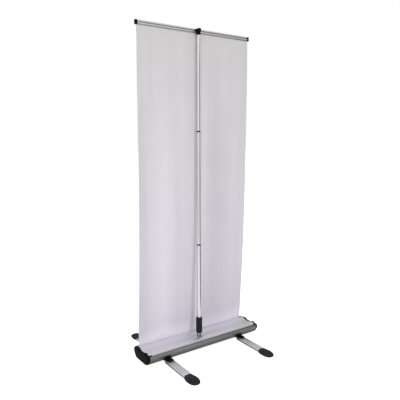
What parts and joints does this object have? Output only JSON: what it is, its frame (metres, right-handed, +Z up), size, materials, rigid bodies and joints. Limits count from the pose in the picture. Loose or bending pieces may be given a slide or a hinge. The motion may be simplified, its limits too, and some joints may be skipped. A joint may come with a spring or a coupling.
{
  "type": "outdoor roll-up banner stand",
  "caption": "Double-sided outdoor roll-up banner stand: aluminium cassette base with swivel feet, flexible telescopic pole, one plain banner raised and one wound in.",
  "frame": {"origin": "On the floor under the pole, at the middle of the base: the centre of the bounding box's underside.", "axes": "X runs along the base, +X to its right end seen from the front; +Y points to the rear, where the raised banner stands; +Z is up."},
  "size_m": [0.9116, 0.832, 2.1172],
  "materials": {
    "satin_aluminium": "satin anodised",
    "black_moulding": "fine moulded texture",
    "black_rubber": "matt rubber",
    "zinc_steel": "zinc plated",
    "polished_steel": "polished",
    "spring_steel": "oiled wire",
    "roller_tube_steel": "galvanised tube",
    "banner_film": "matt coated film"
  },
  "bodies": {
    "base": {"base_hull": "satin_aluminium", "base_saddle": "satin_aluminium", "end_cap_left": "black_moulding", "end_cap_right": "black_moulding", "pole_socket": "black_moulding", "pole_spigot": "polished_steel", "flex_sleeve": "black_rubber", "flex_spring": "spring_steel", "tube_plug": "zinc_steel", "pole_lower": "satin_aluminium", "collar_lower": "black_moulding", "foot_bracket_front_left": "zinc_steel", "pivot_bolt_front_left": "zinc_steel", "pivot_cap_front_left": "black_moulding", "foot_bracket_front_right": "zinc_steel", "pivot_bolt_front_right": "zinc_steel", "pivot_cap_front_right": "black_moulding", "foot_bracket_rear_left": "zinc_steel", "pivot_bolt_rear_left": "zinc_steel", "pivot_cap_rear_left": "black_moulding", "foot_bracket_rear_right": "zinc_steel", "pivot_bolt_rear_right": "zinc_steel", "pivot_cap_rear_right": "black_moulding", "rear_idle_axle": "zinc_steel", "rear_spring_axle": "zinc_steel", "rear_roller_spring": "spring_steel", "rear_film_lead": "banner_film", "front_idle_axle": "zinc_steel", "front_spring_axle": "zinc_steel", "front_roller_spring": "spring_steel", "front_film_lead": "banner_film"},
    "foot_front_left_body": {"foot_bar_front_left": "satin_aluminium", "foot_tip_front_left": "black_rubber"},
    "foot_front_right_body": {"foot_bar_front_right": "satin_aluminium", "foot_tip_front_right": "black_rubber"},
    "foot_rear_left_body": {"foot_bar_rear_left": "satin_aluminium", "foot_tip_rear_left": "black_rubber"},
    "foot_rear_right_body": {"foot_bar_rear_right": "satin_aluminium", "foot_tip_rear_right": "black_rubber"},
    "rear_roller_body": {"rear_roller_tube": "roller_tube_steel", "rear_winding": "banner_film", "rear_roller_plug_left": "black_moulding", "rear_roller_plug_right": "black_moulding"},
    "rear_rail_body": {"rear_rail": "satin_aluminium", "rear_rail_cap_left": "black_moulding", "rear_rail_cap_right": "black_moulding", "rear_banner": "banner_film"},
    "front_roller_body": {"front_roller_tube": "roller_tube_steel", "front_winding": "banner_film", "front_roller_plug_left": "black_moulding", "front_roller_plug_right": "black_moulding"},
    "front_rail_body": {"front_rail": "satin_aluminium", "front_rail_cap_left": "black_moulding", "front_rail_cap_right": "black_moulding", "front_film_stub": "banner_film"},
    "pole_middle_body": {"pole_middle": "satin_aluminium", "collar_upper": "black_moulding"},
    "pole_upper_body": {"pole_upper": "satin_aluminium", "top_connector": "black_moulding"}
  },
  "joints": [
    {"name": "foot_front_left_swing", "type": "hinge", "parent": "base", "child": "foot_front_left_body", "pos_m": [-0.2955, -0.097, 0.008], "axis": [0, 0, 1], "range_deg": [0, 82]},
    {"name": "foot_front_right_swing", "type": "hinge", "parent": "base", "child": "foot_front_right_body", "pos_m": [0.2955, -0.097, 0.008], "axis": [0, 0, 1], "range_deg": [-97, 0]},
    {"name": "foot_rear_left_swing", "type": "hinge", "parent": "base", "child": "foot_rear_left_body", "pos_m": [-0.2955, 0.097, 0.008], "axis": [0, 0, 1], "range_deg": [-82, 0]},
    {"name": "foot_rear_right_swing", "type": "hinge", "parent": "base", "child": "foot_rear_right_body", "pos_m": [0.2955, 0.097, 0.008], "axis": [0, 0, 1], "range_deg": [0, 97]},
    {"name": "pole_middle_slide", "type": "slide", "parent": "base", "child": "pole_middle_body", "axis": [0, 0, -1], "range_m": [0, 0.425]},
    {"name": "pole_upper_slide", "type": "slide", "parent": "pole_middle_body", "child": "pole_upper_body", "axis": [0, 0, -1], "range_m": [0, 0.58]},
    {"name": "rear_rail_travel", "type": "slide", "parent": "base", "child": "rear_rail_body", "axis": [0, 0.0306, -0.9995], "range_m": [0, 2.0365], "deforming": ["rear_banner"]},
    {"name": "front_rail_travel", "type": "slide", "parent": "base", "child": "front_rail_body", "axis": [0, 0.0306, 0.9995], "range_m": [0, 2.0365], "deforming": ["front_film_stub"]},
    {"name": "rear_roller_turn", "type": "hinge", "parent": "base", "child": "rear_roller_body", "pos_m": [0, 0.048, 0.0515], "axis": [1, 0, 0], "range_deg": [-6143, 0]},
    {"name": "front_roller_turn", "type": "hinge", "parent": "base", "child": "front_roller_body", "pos_m": [0, -0.048, 0.0515], "axis": [1, 0, 0], "range_deg": [-6143, 0]}
  ],
  "couplings": [
    {"joint": "rear_roller_turn", "follows": "rear_rail_travel", "rad_per_m": -52.632},
    {"joint": "front_roller_turn", "follows": "front_rail_travel", "rad_per_m": -52.632}
  ]
}
